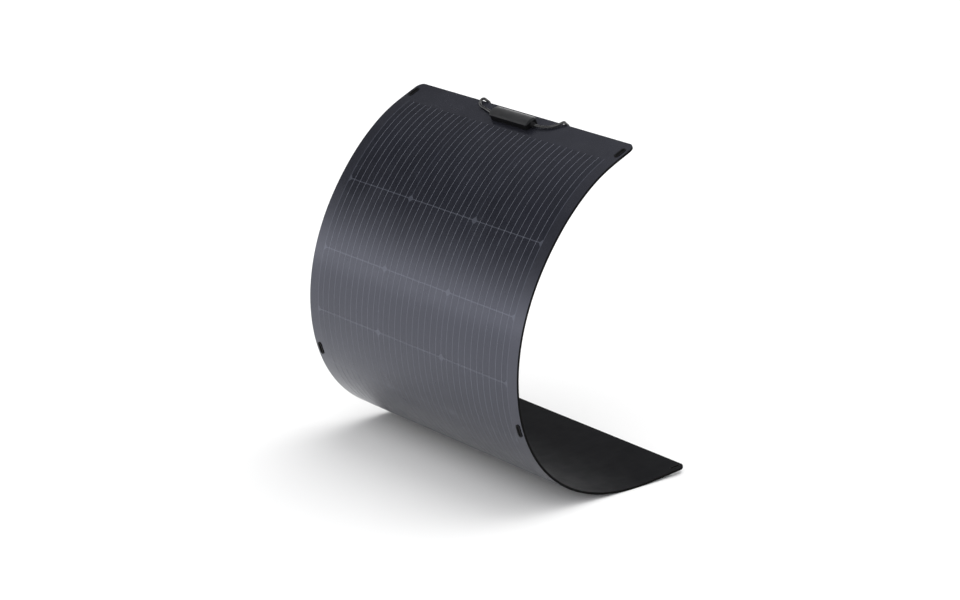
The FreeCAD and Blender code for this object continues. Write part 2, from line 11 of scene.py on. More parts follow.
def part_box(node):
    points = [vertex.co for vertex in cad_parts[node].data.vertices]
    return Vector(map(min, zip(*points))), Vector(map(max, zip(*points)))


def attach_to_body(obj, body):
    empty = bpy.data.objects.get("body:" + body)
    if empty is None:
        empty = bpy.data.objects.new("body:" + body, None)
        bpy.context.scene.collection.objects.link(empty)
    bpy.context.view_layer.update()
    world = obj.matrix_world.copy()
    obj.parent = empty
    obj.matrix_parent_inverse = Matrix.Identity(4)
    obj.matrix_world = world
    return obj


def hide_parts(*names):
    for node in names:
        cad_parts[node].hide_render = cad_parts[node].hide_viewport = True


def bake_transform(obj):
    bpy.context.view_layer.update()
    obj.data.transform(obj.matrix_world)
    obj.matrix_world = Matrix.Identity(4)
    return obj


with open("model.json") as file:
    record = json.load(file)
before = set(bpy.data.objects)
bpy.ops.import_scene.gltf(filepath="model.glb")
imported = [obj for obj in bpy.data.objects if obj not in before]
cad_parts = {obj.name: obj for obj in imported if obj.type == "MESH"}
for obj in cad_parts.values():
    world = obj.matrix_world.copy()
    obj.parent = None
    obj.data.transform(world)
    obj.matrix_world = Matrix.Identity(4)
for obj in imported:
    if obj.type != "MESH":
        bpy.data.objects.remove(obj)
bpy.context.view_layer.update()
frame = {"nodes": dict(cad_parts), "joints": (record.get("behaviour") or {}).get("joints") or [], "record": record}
RECORD = frame["record"]

# ---- sizes, in metres ----------------------------------------------------
SHEET_WIDTH = 2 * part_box("back_sheet_12")[1].x
HALF_THICK = 0.0022
CORNER_RADIUS = 0.016
TOP_LENGTH = 0.054
TAIL_LENGTH = 0.087
EDGE_BEVEL = 0.0006

RIGID_HALF = 0.016            # half of each span's middle; each piece ends this far past the middle of its span
TOP_RIGID_END = 0.044
SMOOTHING = 0.025             # the bend is evened out over this length each way
STEP = 0.003                  # mesh step along the sheet
LINE_STEP = 0.0005            # step of the bent line itself
CORNER_STEPS = 14             # steps round one rounded corner

COLUMNS = 3
COLUMN_PITCH = 0.186
TOP_MARGIN = 0.054
ROWS = (0.192, 0.137, 0.120, 0.112, 0.096, 0.096, 0.096, 0.096)
CELL_GAP = 0.0016
CELL_CHAMFER = 0.0062
CELL_PROUD = 0.00004
CELL_SINK = 0.0002             # how far the cells' plates reach into the sheet
STRIP_SINK = 0.0001            # the same for strips and wires
STRIP_PROUD = 0.00006          # the strips between rows lap over the cells' edges
STRIP_HALF = 0.0009
DIAMOND_HALF = 0.0078
DIAMOND_PROUD = 0.00007
LINE_PROUD = 0.00005           # the lines between columns pass under the strips
LINE_HALF = 0.0008
WIRES_PER_CELL = 10
WIRE_PITCH = 0.0173            # closer together than across a column line
WIRE_WIDTH = 0.0009
WIRE_PROUD = 0.00016
WIRE_CROWN = 0.45              # share of a wire's width that its top keeps

MIN_STRETCH = 1e-6             # anything shorter along the sheet is left out
POINT_HALF = 0.00005           # half the width of a diamond's blunt tip

SLOT_INSET = 0.012
COLLAR_LENGTH, COLLAR_WIDTH = 0.0235, 0.008
TOP_SLOT_FROM_EDGE = 0.029
TAIL_SLOT_FROM_EDGE = 0.019
MIDDLE_SLOT_SPAN = 7
SLOT_ROUND_STEPS = 12          # steps round each end of a slot
CUTTER_REACH = 0.01            # how far a slot's cutter stands out of the sheet each way
FACING = 0.9                   # a face this level counts as front or back, not as edge

LEAD_RADIUS = 0.0026
GLAND_OVERLAP = 0.004         # a lead starts this far inside its gland nut
TURN_DOWN = (0.004, -0.008, -0.020)       # heights over the pivot as a lead turns down


# ---- the bent line of the sheet ------------------------------------------
class SheetLine:
    """The smooth line that the sheet follows at rest, worked out from the CAD's bend lines."""

    def __init__(self):
        joints = {j["name"]: j for j in frame["joints"]}
        ratios = {c["joint"]: c["ratio"] for c in RECORD["behaviour"]["couplings"]}
        bends = sorted(name for name in joints if name.startswith("bend_"))
        leader = next(name for name in bends if name not in ratios)
        flat_angle = math.radians(joints[leader]["range_deg"][1])
        points = [joints[name]["pos_m"] for name in bends]

        turns = [0.0]
        for name in bends:
            turns.append(2 * ratios.get(name, 1.0) * flat_angle - turns[-1])
        lengths = [TOP_LENGTH]
        headings = []
        for i, turn in enumerate(turns[1:-1]):
            dy = points[i + 1][1] - points[i][1]
            dz = points[i + 1][2] - points[i][2]
            chord = math.hypot(dy, dz)
            lengths.append(chord * (turn / 2) / math.sin(turn / 2))
            headings.append(math.atan2(dz, dy) % (2 * math.pi) - turn / 2)
        lengths.append(TAIL_LENGTH)
        self.lengths = lengths
        self.edges = np.concatenate([[0.0], np.cumsum(lengths)])
        self.length = self.edges[-1]

        start_headings = np.unwrap([headings[0]] + headings)
        end_heading = start_headings[-1] + turns[-2]
        knots = np.concatenate([start_headings, [end_heading, end_heading]])
        self.s = np.arange(0.0, self.length + LINE_STEP, LINE_STEP)
        raw = np.interp(self.s, self.edges, knots)
        self.heading = self.evened(raw)
        self.integrate(points[len(points) // 2], self.edges[len(points) // 2 + 1])

    def evened(self, heading):
        """The heading averaged twice over the smoothing length."""
        reach = int(SMOOTHING / (self.s[1] - self.s[0]) / 2)
        kernel = np.ones(2 * reach + 1) / (2 * reach + 1)
        for _ in range(2):
            padded = np.pad(heading, reach, mode="edge")
            heading = np.convolve(padded, kernel, mode="valid")
        return heading

    def integrate(self, point, at):
        """Positions along the line, which passes through `point` at length `at`."""
        step = self.s[1] - self.s[0]
        cosines, sines = np.cos(self.heading), np.sin(self.heading)
        y = np.concatenate([[0.0], np.cumsum((cosines[1:] + cosines[:-1]) / 2) * step])
        z = np.concatenate([[0.0], np.cumsum((sines[1:] + sines[:-1]) / 2) * step])
        self.y = y - np.interp(at, self.s, y) + point[1]
        self.z = z - np.interp(at, self.s, z) + point[2]

    def place(self, flat):
        """World positions of flat points (x, s, h)."""
        flat = np.asarray(flat, float).reshape(-1, 3)
        heading = np.interp(flat[:, 1], self.s, self.heading)
        y = np.interp(flat[:, 1], self.s, self.y) + flat[:, 2] * np.sin(heading)
        z = np.interp(flat[:, 1], self.s, self.z) - flat[:, 2] * np.cos(heading)
        return np.stack([flat[:, 0], y, z], axis=1)

    def turn_vectors(self, s, vectors):
        """World directions of flat directions (x, s, h) at lengths s."""
        heading = np.interp(s, self.s, self.heading)
        y = vectors[:, 1] * np.cos(heading) + vectors[:, 2] * np.sin(heading)
        z = vectors[:, 1] * np.sin(heading) - vectors[:, 2] * np.cos(heading)
        return np.stack([vectors[:, 0], y, z], axis=1)


line = SheetLine()
SPAN_COUNT = len(line.lengths)


def seam_after(index):
    """Where the piece of span `index` ends and the next begins."""
    if index == 0:
        return TOP_RIGID_END
    if index == SPAN_COUNT - 1:
        return line.length
    return (line.edges[index] + line.edges[index + 1]) / 2 + RIGID_HALF


def piece_range(index):
    """The stretch of sheet that the piece of span `index` covers."""
    return (0.0 if index == 0 else seam_after(index - 1)), seam_after(index)


def body_name(index):
    return "span_%02d" % (index + 1)


def attach(obj, index):
    """Parents a piece of the first span to its body; a piece of any other span only has its placement baked into
    its mesh.
    """
    if index == 0:
        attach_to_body(obj, body_name(0))
        return
    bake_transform(obj)


# ---- meshes made flat, then bent -----------------------------------------
class FlatMesh:
    """A closed mesh gathered in flat coordinates: x across, s along, h out of the front."""

    def __init__(self):
        self.points = []
        self.faces = []

    def sweep(self, sections):
        """A closed bar through sections, each a list of (x, s, h) of the same length.

        Seen against the direction of travel, each section runs anticlockwise.
        """
        count = len(sections[0])
        base = len(self.points)
        for section in sections:
            self.points.extend(section)
        for i in range(len(sections) - 1):
            for j in range(count):
                a = base + i * count + j
                b = base + i * count + (j + 1) % count
                self.faces.append((a, a + count, b + count, b))
        last = base + (len(sections) - 1) * count
        self.faces.append(tuple(base + j for j in range(count)))
        self.faces.append(tuple(last + j for j in reversed(range(count))))

    def to_object(self, name):
        mesh = bpy.data.meshes.new(name)
        mesh.from_pydata(self.points, [], self.faces)
        obj = bpy.data.objects.new(name, mesh)
        bpy.context.scene.collection.objects.link(obj)
        return obj


def bend(obj):
    """Moves a flat mesh onto the bent line, with exact normals and (x, s) as its UVs."""
    mesh = obj.data
    count = len(mesh.vertices)
    flat = np.zeros(count * 3)
    mesh.vertices.foreach_get("co", flat)
    flat = flat.reshape(-1, 3)
    mesh.flip_normals()
    normals = np.zeros(len(mesh.polygons) * 3)
    mesh.polygons.foreach_get("normal", normals)
    normals = -normals.reshape(-1, 3)
    corner_vertex = np.zeros(len(mesh.loops), int)
    mesh.loops.foreach_get("vertex_index", corner_vertex)
    sizes = np.zeros(len(mesh.polygons), int)
    mesh.polygons.foreach_get("loop_total", sizes)
    corner_normals = np.repeat(normals, sizes, axis=0)
    corner_s = flat[corner_vertex, 1]

    uv = mesh.uv_layers.new(name="sheet")
    uv.data.foreach_set("uv", flat[corner_vertex][:, :2].astype(np.float32).ravel())
    mesh.vertices.foreach_set("co", line.place(flat).astype(np.float32).ravel())
    mesh.polygons.foreach_set("use_smooth", [True] * len(mesh.polygons))
    mesh.update()
    mesh.normals_split_custom_set(line.turn_vectors(corner_s, corner_normals).tolist())
    return obj


def stations(start, end, step=STEP):
    """Even steps from start to end, both included."""
    count = max(1, round((end - start) / step))
    return [start + (end - start) * i / count for i in range(count + 1)]


def apply_modifiers(obj):
    """Replaces the object's mesh by its modified one."""
    depsgraph = bpy.context.evaluated_depsgraph_get()
    made = bpy.data.meshes.new_from_object(obj.evaluated_get(depsgraph), depsgraph=depsgraph)
    old = obj.data
    obj.modifiers.clear()
    obj.data = made
    bpy.data.meshes.remove(old)


def slot_centres():
    """Flat centres (x, s) of the six slots."""
    middle = (line.edges[MIDDLE_SLOT_SPAN] + line.edges[MIDDLE_SLOT_SPAN + 1]) / 2
    along = (TOP_SLOT_FROM_EDGE, middle, line.length - TAIL_SLOT_FROM_EDGE)
    across = SHEET_WIDTH / 2 - SLOT_INSET
    return [(side * across, s) for s in along for side in (-1, 1)]


def slot_cutter(x, s):
    """An upright stadium prism that cuts one slot."""
    cutter = FlatMesh()
    straight = (COLLAR_LENGTH - COLLAR_WIDTH) / 2
    ring = []
    for end in (1, -1):
        for i in range(SLOT_ROUND_STEPS + 1):
            angle = math.pi * i / SLOT_ROUND_STEPS
            ring.append((x - end * math.cos(angle) * COLLAR_WIDTH / 2,
                         s + end * (straight + math.sin(angle) * COLLAR_WIDTH / 2)))
    cutter.sweep([[(px, ps, h) for px, ps in ring] for h in (-CUTTER_REACH, CUTTER_REACH)])
    return cutter.to_object("cutter")


# ---- the laminate's layers -----------------------------------------------
def half_width_at(s):
    """Half the sheet's width at length s, less near its rounded corners."""
    from_end = min(s, line.length - s)
    if from_end >= CORNER_RADIUS:
        return SHEET_WIDTH / 2
    rise = math.sqrt(max(0.0, CORNER_RADIUS**2 - (CORNER_RADIUS - from_end) ** 2))
    return SHEET_WIDTH / 2 - CORNER_RADIUS + rise


def laminate_section(s):
    """The sheet's cross-section at s, with its edges eased all round."""
    w = half_width_at(s)
    b = EDGE_BEVEL
    t = HALF_THICK - max(0.0, b - min(s, line.length - s))
    return [(-w, s, -t + b), (-w + b, s, -t), (w - b, s, -t), (w, s, -t + b),
            (w, s, t - b), (w - b, s, t), (-w + b, s, t), (-w, s, t - b)]


def laminate_stations(start, end):
    """Steps along one piece, finer round the sheet's corners."""
    steps = stations(start, end)
    for s in list(steps):
        near = min(s, line.length - s)
        if near < CORNER_RADIUS + STEP:
            steps.remove(s)
    rounding = [CORNER_RADIUS * (1 - math.cos(math.pi / 2 * i / CORNER_STEPS))
                for i in range(CORNER_STEPS + 1)]
    for near in rounding + [EDGE_BEVEL]:
        for s in (near, line.length - near):
            if start - 1e-9 <= s <= end + 1e-9:
                steps.append(s)
    return sorted(set(steps) | {start, end})


def make_laminate(index, front, back, edge):
    """One piece of the bare sheet, with its slots cut."""
    start, end = piece_range(index)
    flat = FlatMesh()
    flat.sweep([laminate_section(s) for s in laminate_stations(start, end)])
    obj = flat.to_object("laminate_%02d" % (index + 1))
    cutters = [slot_cutter(x, s) for x, s in slot_centres() if start < s < end]
    for cutter in cutters:
        cut = obj.modifiers.new("slot", "BOOLEAN")
        cut.operation = "DIFFERENCE"
        cut.solver = "EXACT"
        cut.object = cutter
    if cutters:
        apply_modifiers(obj)
        for cutter in cutters:
            bpy.data.objects.remove(cutter)
    obj.data.materials.clear()
    for material in (front, back, edge):
        obj.data.materials.append(material)
    for face in obj.data.polygons:
        upward = face.normal.z
        face.material_index = 0 if upward > FACING else (1 if upward < -FACING else 2)
    bend(obj)
    attach(obj, index)
    number = "%02d" % (index + 1)
    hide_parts("front_sheet_" + number, "back_sheet_" + number)
    return obj


def column_sides():
    """Left and right side of each column of cells."""
    first = -COLUMNS * COLUMN_PITCH / 2
    return [(first + i * COLUMN_PITCH + CELL_GAP / 2, first + (i + 1) * COLUMN_PITCH - CELL_GAP / 2)
            for i in range(COLUMNS)]


def row_ranges():
    """Start and end of each row of cells along the sheet."""
    ranges = []
    start = TOP_MARGIN
    for length in ROWS:
        ranges.append((start + CELL_GAP / 2, start + length - CELL_GAP / 2))
        start += length
    return ranges


def make_cells(index, material):
    """The cells' share in one piece: flat plates with cropped corners."""
    start, end = piece_range(index)
    low, high = HALF_THICK - CELL_SINK, HALF_THICK + CELL_PROUD
    flat = FlatMesh()
    for row_start, row_end in row_ranges():
        first, last = max(start, row_start), min(end, row_end)
        if last - first < MIN_STRETCH:
            continue
        steps = set(stations(first, last))
        for corner in (row_start + CELL_CHAMFER, row_end - CELL_CHAMFER):
            if first < corner < last:
                steps.add(corner)
        for left, right in column_sides():
            sections = []
            for s in sorted(steps):
                crop = max(0.0, CELL_CHAMFER - min(s - row_start, row_end - s))
                sections.append([(left + crop, s, low), (right - crop, s, low),
                                 (right - crop, s, high), (left + crop, s, high)])
            flat.sweep(sections)
    if not flat.points:
        return None
    obj = flat.to_object("cell_faces_%02d" % (index + 1))
    obj.data.materials.append(material)
    bend(obj)
    attach(obj, index)
    if "cells_%02d" % (index + 1) in frame["nodes"]:
        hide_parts("cells_%02d" % (index + 1))
    return obj


def make_gap_strips(index, material):
    """The pale strips between rows and columns, with a diamond where cropped corners meet."""
    start, end = piece_range(index)
    low = HALF_THICK - STRIP_SINK
    reach = COLUMNS * COLUMN_PITCH / 2
    flat = FlatMesh()

    def plate(s, left, right, proud=STRIP_PROUD):
        high = HALF_THICK + proud
        return [(left, s, low), (right, s, low), (right, s, high), (left, s, high)]

    first, last = max(start, TOP_MARGIN), min(end, TOP_MARGIN + sum(ROWS))
    if last - first > MIN_STRETCH:
        for column in range(COLUMNS + 1):
            x = -reach + column * COLUMN_PITCH
            flat.sweep([plate(s, x - LINE_HALF, x + LINE_HALF, LINE_PROUD)
                        for s in stations(first, last)])

    lines = [row_end + CELL_GAP / 2 for _, row_end in row_ranges()[:-1]]
    for middle in lines:
        if not start < middle < end:
            continue
        flat.sweep([plate(middle + side * STRIP_HALF, -reach, reach) for side in (-1, 1)])
        for column in range(COLUMNS + 1):
            x = -reach + column * COLUMN_PITCH
            sections = []
            for s in (-DIAMOND_HALF, 0.0, DIAMOND_HALF):
                half = max(DIAMOND_HALF - abs(s), POINT_HALF)
                sections.append(plate(middle + s, max(x - half, -reach - LINE_HALF),
                                      min(x + half, reach + LINE_HALF), DIAMOND_PROUD))
            flat.sweep(sections)
    if not flat.points:
        return None
    obj = flat.to_object("gap_strips_%02d" % (index + 1))
    obj.data.materials.append(material)
    bend(obj)
    attach(obj, index)
    return obj


def make_wires(index, material):
    """Ten fine raised wires along each column of cells."""
    start, end = piece_range(index)
    first = max(start, TOP_MARGIN)
    last = min(end, TOP_MARGIN + sum(ROWS))
    if last - first < MIN_STRETCH:
        return None
    flat = FlatMesh()
    base = HALF_THICK - STRIP_SINK
    top = HALF_THICK + CELL_PROUD + WIRE_PROUD
    half = WIRE_WIDTH / 2
    for left, right in column_sides():
        for i in range(WIRES_PER_CELL):
            x = (left + right) / 2 + (i - (WIRES_PER_CELL - 1) / 2) * WIRE_PITCH
            flat.sweep([[(x - half, s, base), (x + half, s, base),
                         (x + half * WIRE_CROWN, s, top), (x - half * WIRE_CROWN, s, top)]
                        for s in stations(first, last)])
    obj = flat.to_object("wires_%02d" % (index + 1))
    obj.data.materials.append(material)
    bend(obj)
    attach(obj, index)
    return obj


# ---- leads ---------------------------------------------------------------
# Middle line of each lead: (along from the top edge, across from the box's middle,
# height over the sheet), from its gland to where it turns down behind the sheet.
LEFT_LEAD = ((0.0225, -0.0840, 0.0039), (0.0177, -0.1045, 0.0036), (0.0103, -0.1160, 0.0040),
             (0.0030, -0.1190, 0.0048), (-0.0035, -0.1150, 0.0055), (-0.0065, -0.1080, 0.0030))
RIGHT_LEAD = ((0.0265, 0.0750, 0.0042), (0.0210, 0.0920, 0.0036), (0.0140, 0.1015, 0.0036),
              (0.0055, 0.1075, 0.0040), (-0.0020, 0.1125, 0.0046), (-0.0065, 0.1160, 0.0020))


def smooth_path(points, count=12):
    """A smooth curve through the points, as a dense list."""
    points = np.array(points, float)
    tangents = np.gradient(points, axis=0)
    steps = np.linalg.norm(np.diff(points, axis=0), axis=1)
    dense = []
    for i in range(len(points) - 1):
        scale = steps[i]
        a = tangents[i] / np.linalg.norm(tangents[i]) * scale
        b = tangents[i + 1] / np.linalg.norm(tangents[i + 1]) * scale
        for t in np.linspace(0, 1, count, endpoint=False):
            h00, h10 = 2 * t**3 - 3 * t**2 + 1, t**3 - 2 * t**2 + t
            h01, h11 = -2 * t**3 + 3 * t**2, t**3 - t**2
            dense.append(h00 * points[i] + h10 * a + h01 * points[i + 1] + h11 * b)
    dense.append(points[-1])
    return np.array(dense)


def tube(name, path, radius, sides=20):
    """A round closed tube along a path."""
    tangents = np.gradient(path, axis=0)
    tangents /= np.linalg.norm(tangents, axis=1)[:, None]
    normal = np.cross(tangents[0], (0.0, 0.0, 1.0))
    if np.linalg.norm(normal) < 1e-3:
        normal = np.cross(tangents[0], (1.0, 0.0, 0.0))
    flat = FlatMesh()
    sections = []
    for point, tangent in zip(path, tangents):
        normal = normal - tangent * (normal @ tangent)
        normal /= np.linalg.norm(normal)
        binormal = np.cross(tangent, normal)
        ring = []
        for i in range(sides):
            angle = 2 * math.pi * i / sides
            offset = normal * math.cos(angle) - binormal * math.sin(angle)
            ring.append(tuple(point + offset * radius))
        sections.append(ring)
    flat.sweep(sections)
    obj = flat.to_object(name)
    obj.data.polygons.foreach_set("use_smooth", [True] * len(obj.data.polygons))
    for cap in (obj.data.polygons[-1], obj.data.polygons[-2]):
        cap.use_smooth = False
    return obj


def make_lead(side_name, points, side, material):
    """One whole lead: out of its gland, over the top edge and down to its connector."""
    low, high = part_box("gland_nuts")
    box_low, box_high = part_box("box_lid")
    box_x = (box_low.x + box_high.x) / 2
    gland_y, gland_z = (low.y + high.y) / 2, (low.z + high.z) / 2
    nut_end = high.x if side > 0 else low.x
    joint = next(j for j in frame["joints"] if j["name"] == "lead_%s_swing" % side_name)
    pivot = np.array(joint["pos_m"])
    drop_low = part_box("lead_drop_" + side_name)[0]
    path = [(nut_end - side * GLAND_OVERLAP, gland_y, gland_z),
            (nut_end + side * GLAND_OVERLAP, gland_y, gland_z)]
    path += [tuple(p) for p in line.place([(box_x + x, s, HALF_THICK + h) for s, x, h in points])]
    path += [tuple(pivot + (0, 0, z)) for z in TURN_DOWN]
    path += [(pivot[0], pivot[1], drop_low.z)]
    obj = tube("lead_" + side_name + "_cable", smooth_path(path), LEAD_RADIUS)
    obj.data.materials.append(material)
    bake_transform(obj)
    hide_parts("lead_" + side_name, "lead_drop_" + side_name)
    return obj


# ---- materials -----------------------------------------------------------
# Places of the colour sockets on a Mix node set to colours.
MIX_FIRST, MIX_SECOND = 6, 7
MIX_RESULT = 2


class Material:
    """A node material under construction."""

    def __init__(self, name):
        self.data = bpy.data.materials.new(name)
        self.data.use_nodes = True
        self.tree = self.data.node_tree
        self.shader = self.tree.nodes["Principled BSDF"]

    def node(self, kind, **inputs):
        """A new node; keyword values set its inputs by name, or its properties."""
        made = self.tree.nodes.new(kind)
        for key, value in inputs.items():
            label = key.replace("_", " ")
            socket = made.inputs.get(label) or made.inputs.get(label.title())
            if socket is None:
                setattr(made, key, value)
            elif isinstance(value, bpy.types.NodeSocket):
                self.tree.links.new(value, socket)
            else:
                socket.default_value = value
        return made

    def link(self, output, socket_name):
        self.tree.links.new(output, self.shader.inputs[socket_name])

    def ramp(self, factor, stops):
        """A colour ramp; stops are (position, grey or colour)."""
        ramp = self.node("ShaderNodeValToRGB")
        self.tree.links.new(factor, ramp.inputs["Fac"])
        elements = ramp.color_ramp.elements
        while len(elements) < len(stops):
            elements.new(0.5)
        for element, (position, value) in zip(elements, stops):
            element.position = position
            colour = (value,) * 3 if isinstance(value, (int, float)) else value
            element.color = (*colour, 1.0)
        return ramp.outputs["Color"]

    def noise(self, scale, detail=3.0, roughness=0.55, vector=None):
        coordinates = vector or self.node("ShaderNodeTexCoord").outputs["Object"]
        made = self.node("ShaderNodeTexNoise", Vector=coordinates, Scale=scale, Detail=detail,
                         Roughness=roughness)
        return made.outputs["Fac"]

    def bump(self, height, strength, distance, normal=None):
        made = self.node("ShaderNodeBump", Height=height, Strength=strength, Distance=distance)
        if normal is not None:
            self.tree.links.new(normal, made.inputs["Normal"])
        return made.outputs["Normal"]


FILM_TINT = (0.76, 0.79, 1.0, 1.0)      # the film's sheen is slightly blue


def film_material(name, colour, spread, roughness, specular=0.5):
    """Satin film over a dark layer: fine dimples, faint cloudiness and handling marks."""
    m = Material(name)
    cloud = m.noise(9.0, 4.0, 0.6)
    dark = tuple(c * (1 - spread) for c in colour)
    light = tuple(c * (1 + spread) for c in colour)
    m.link(m.ramp(cloud, [(0.3, dark), (0.7, light)]), "Base Color")
    smear = m.noise(26.0, 5.0, 0.65)
    m.link(m.ramp(smear, [(0.3, roughness - 0.03), (0.75, roughness + 0.05)]), "Roughness")
    dimples = m.node("ShaderNodeTexVoronoi", Scale=900.0)
    m.tree.links.new(m.node("ShaderNodeTexCoord").outputs["Object"], dimples.inputs["Vector"])
    waviness = m.bump(m.noise(38.0, 2.0), 0.10, 0.0004)
    m.link(m.bump(dimples.outputs["Distance"], 0.22, 0.00012, waviness), "Normal")
    m.shader.inputs["Specular IOR Level"].default_value = specular
    m.shader.inputs["Specular Tint"].default_value = FILM_TINT
    return m.data


def moulded_material(name, colour, roughness, grain=1400.0, depth=0.00004, wear=0.25,
                     specular=0.5):
    """Moulded plastic: fine spark-erosion grain, slight sheen changes and rubbed edges."""
    m = Material(name)
    cloud = m.noise(60.0, 4.0, 0.6)
    pointiness = m.node("ShaderNodeNewGeometry").outputs["Pointiness"]
    rubbed = m.ramp(pointiness, [(0.5, 0.0), (0.62, 1.0)])
    base = m.ramp(cloud, [(0.3, tuple(c * 0.85 for c in colour)), (0.7, tuple(c * 1.2 for c in colour))])
    mix = m.node("ShaderNodeMix", data_type="RGBA")
    amount = m.node("ShaderNodeMath", operation="MULTIPLY")
    m.tree.links.new(rubbed, amount.inputs[0])
    amount.inputs[1].default_value = wear
    m.tree.links.new(amount.outputs[0], mix.inputs["Factor"])
    m.tree.links.new(base, mix.inputs[MIX_FIRST])
    mix.inputs[MIX_SECOND].default_value = (*[min(1.0, c * 3 + 0.02) for c in colour], 1.0)
    m.link(mix.outputs[MIX_RESULT], "Base Color")
    sheen = m.noise(180.0, 4.0)
    m.link(m.ramp(sheen, [(0.3, roughness - 0.05), (0.7, roughness + 0.08)]), "Roughness")
    m.link(m.bump(m.noise(grain, 3.0), 0.35, depth), "Normal")
    m.shader.inputs["Specular IOR Level"].default_value = specular
    return m.data


def board_material(name):
    """The rear board: fine woven glass texture under a matt black skin, with faint ribs
    where the wires press through."""
    m = Material(name)
    uv = m.node("ShaderNodeUVMap", uv_map="sheet").outputs["UV"]
    split = m.node("ShaderNodeSeparateXYZ", Vector=uv)
    weave = m.node("ShaderNodeTexChecker", Vector=uv, Scale=900.0)
    ribs = m.node("ShaderNodeMath", operation="SINE")
    phase = m.node("ShaderNodeMath", operation="MULTIPLY")
    m.tree.links.new(split.outputs["X"], phase.inputs[0])
    phase.inputs[1].default_value = 2 * math.pi / WIRE_PITCH
    m.tree.links.new(phase.outputs[0], ribs.inputs[0])
    cloud = m.noise(7.0, 5.0, 0.6)
    m.link(m.ramp(cloud, [(0.3, (0.0045, 0.0046, 0.0056)), (0.75, (0.0075, 0.0077, 0.0090))]),
           "Base Color")
    m.link(m.ramp(m.noise(30.0, 5.0), [(0.3, 0.46), (0.7, 0.56)]), "Roughness")
    rib_bump = m.bump(ribs.outputs[0], 0.25, 0.00005)
    wavy = m.bump(m.noise(34.0, 2.0), 0.12, 0.0005, rib_bump)
    m.link(m.bump(weave.outputs["Fac"], 0.12, 0.00003, wavy), "Normal")
    m.shader.inputs["Specular IOR Level"].default_value = 0.02
    return m.data


def edge_material(name):
    """The sheet's cut edge: dead black, with the layers showing as faint lines."""
    m = Material(name)
    m.link(m.ramp(m.noise(120.0, 4.0), [(0.3, 0.0012), (0.7, 0.0035)]), "Base Color")
    m.link(m.ramp(m.noise(60.0, 3.0), [(0.3, 0.75), (0.7, 0.9)]), "Roughness")
    m.link(m.bump(m.noise(1500.0, 3.0), 0.2, 0.00004), "Normal")
    m.shader.inputs["Specular IOR Level"].default_value = 0.06
    return m.data


def metal_material(name, colour, roughness):
    """Tinned or plated metal with fine drawing lines and slight tarnish."""
    m = Material(name)
    m.shader.inputs["Metallic"].default_value = 1.0
    tarnish = m.noise(220.0, 4.0)
    m.link(m.ramp(tarnish, [(0.35, tuple(c * 0.75 for c in colour)), (0.65, colour)]), "Base Color")
    m.link(m.ramp(m.noise(700.0, 3.0), [(0.3, roughness - 0.08), (0.7, roughness + 0.1)]), "Roughness")
    m.link(m.bump(m.noise(2500.0, 2.0), 0.15, 0.00002), "Normal")
    return m.data


def floor_material():
    """Plain pale matt floor."""
    m = Material("floor")
    m.link(m.ramp(m.noise(1.5, 3.0), [(0.3, 0.79), (0.7, 0.81)]), "Base Color")
    m.shader.inputs["Roughness"].default_value = 0.9
    m.shader.inputs["Specular IOR Level"].default_value = 0.1
    return m.data


# ---- build ---------------------------------------------------------------
front_film = film_material("front_film", (0.0105, 0.0110, 0.0150), 0.10, 0.24, 0.9)
cell_face = film_material("cell_face", (0.0050, 0.0056, 0.0090), 0.18, 0.24, 0.9)
gap_strip = film_material("gap_strip", (0.040, 0.043, 0.054), 0.10, 0.24, 0.9)
wire_face = film_material("wire_face", (0.100, 0.104, 0.120), 0.12, 0.32, 0.9)
back_board = board_material("back_board")
sheet_edge = edge_material("sheet_edge")

for number in range(SPAN_COUNT):
    make_laminate(number, front_film, back_board, sheet_edge)
    make_cells(number, cell_face)
    make_gap_strips(number, gap_strip)
    make_wires(number, wire_face)

lead_skin = moulded_material("lead_skin", (0.0035, 0.0036, 0.0042), 0.26, grain=900.0,
                             depth=0.00001, specular=0.6)
make_lead("left", LEFT_LEAD, -1, lead_skin)
make_lead("right", RIGHT_LEAD, 1, lead_skin)

NODE_MATERIALS = {
    "eyelets_": moulded_material("eyelet_plastic", (0.0022, 0.0022, 0.0026), 0.4, wear=0.1, specular=0.06),
    # The tray is near-black and duller than the lid: partly the plastic's own black, partly painted shade for the
    # box's shaded lower side.
    "box_tray": moulded_material("tray_black_painted_shade", (0.0015, 0.0015, 0.0018), 0.5, wear=0.1, specular=0.04),
    "box_lid": moulded_material("lid_plastic", (0.0040, 0.0043, 0.0055), 0.34, wear=0.1,
                                depth=0.000004, specular=0.85),
    "box_gasket": moulded_material("gasket_rubber", (0.010, 0.010, 0.010), 0.6),
    "gland_": moulded_material("gland_plastic", (0.003, 0.003, 0.0035), 0.35, specular=0.3),
    "plug_shell": moulded_material("plug_plastic", (0.012, 0.012, 0.013), 0.42),
    "socket_shell": moulded_material("socket_plastic", (0.012, 0.012, 0.013), 0.42),
    "adhesive_pad": moulded_material("pad_foam", (0.012, 0.012, 0.012), 0.75),
    "potting": moulded_material("potting_compound", (0.03, 0.03, 0.033), 0.5),
    "bypass_diodes": moulded_material("diode_package", (0.015, 0.015, 0.016), 0.45),
    "terminal_rails": metal_material("plated_brass", (0.78, 0.62, 0.36), 0.3),
    "bus_ribbon": metal_material("tinned_ribbon", (0.62, 0.62, 0.60), 0.32),
    "plug_pin": metal_material("pin_metal", (0.72, 0.72, 0.70), 0.25),
    "socket_contact": metal_material("contact_metal", (0.72, 0.72, 0.70), 0.25),
}
BEVELS = {"box_lid": 0.0008, "box_tray": 0.0008, "eyelets_": 0.0005, "gland_nuts": 0.0003,
          "plug_shell": 0.0005, "socket_shell": 0.0005}
BEVEL_SEGMENTS = 3
BEVEL_ANGLE = math.radians(30)            # sharper corners than this are eased

